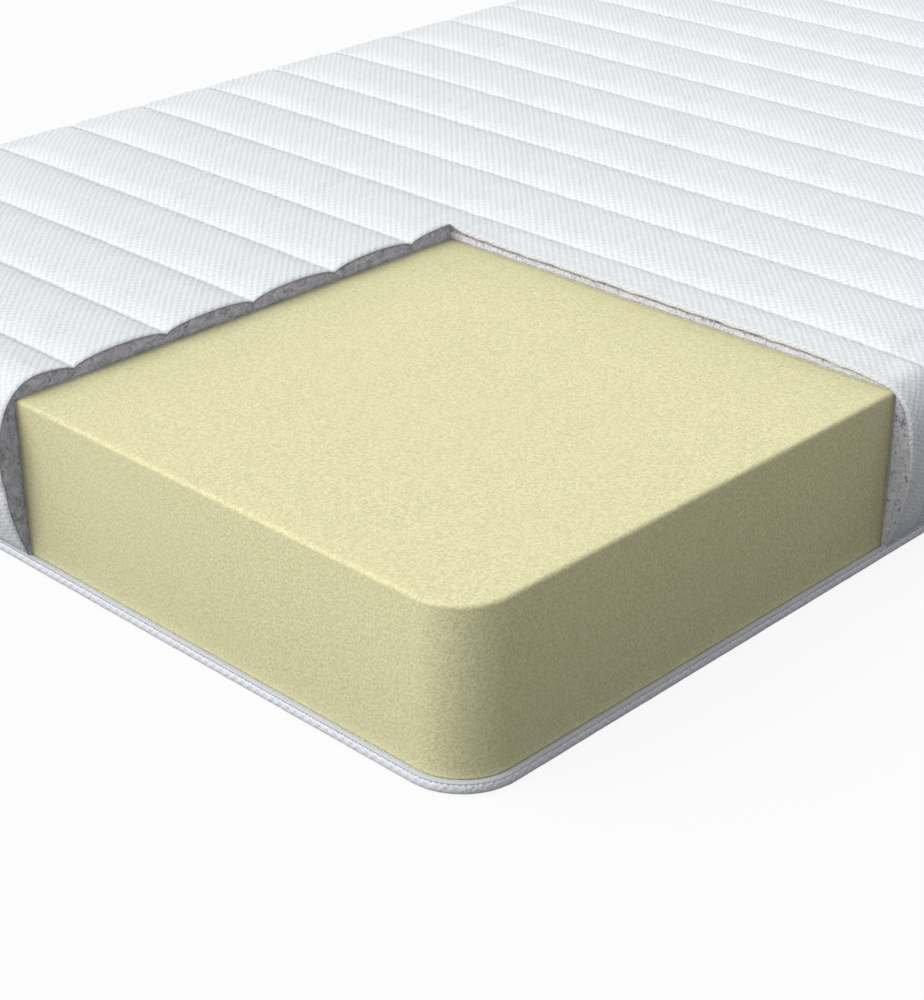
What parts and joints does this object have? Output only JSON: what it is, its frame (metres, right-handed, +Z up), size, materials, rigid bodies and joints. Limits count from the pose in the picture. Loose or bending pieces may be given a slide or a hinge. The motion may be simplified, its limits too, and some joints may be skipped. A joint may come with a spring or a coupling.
{
  "type": "memory foam mattress",
  "caption": "Single memory foam mattress: one foam block in a channel-quilted zip cover, with a corner of the cover cut away to show the foam, wadding and bottom panel.",
  "frame": {"origin": "middle of the underside, on the surface that the mattress lies on", "axes": "+X across the bed, +Y along the bed away from the cut-away end, +Z up"},
  "size_m": [0.9, 2, 0.1412],
  "materials": {
    "foam": "matte",
    "knit": "matte",
    "wadding": "matte",
    "backing": "matte",
    "thread": "satin",
    "seam_tape": "matte",
    "zip_tape": "matte",
    "zip_coil": "satin",
    "zip_metal": "satin"
  },
  "bodies": {
    "mattress": {"foam_core": "foam", "cover_knit": "knit", "cover_wadding": "wadding", "cover_backing": "backing", "quilting_thread": "thread", "bottom_knit": "knit", "bottom_wadding": "wadding", "bottom_backing": "backing", "seam_tape": "seam_tape", "seam_thread": "thread", "zip_upper_tape": "zip_tape", "zip_lower_tape": "zip_tape", "zip_upper_coil": "zip_coil", "zip_lower_coil": "zip_coil", "zip_top_stop": "zip_metal", "zip_end_box": "zip_metal"},
    "slider": {"zip_slider": "zip_metal"},
    "pull_tab": {"zip_pull_tab": "zip_metal"}
  },
  "joints": [
    {"name": "slider_travel", "type": "slide", "parent": "mattress", "child": "slider", "axis": [0, -1, 0], "range_m": [0, 1.8]},
    {"name": "pull_tab_flip", "type": "hinge", "parent": "slider", "child": "pull_tab", "pos_m": [-0.4443, 0.9085, 0.0089], "axis": [0, 0, -1], "range_deg": [0, 180]}
  ]
}
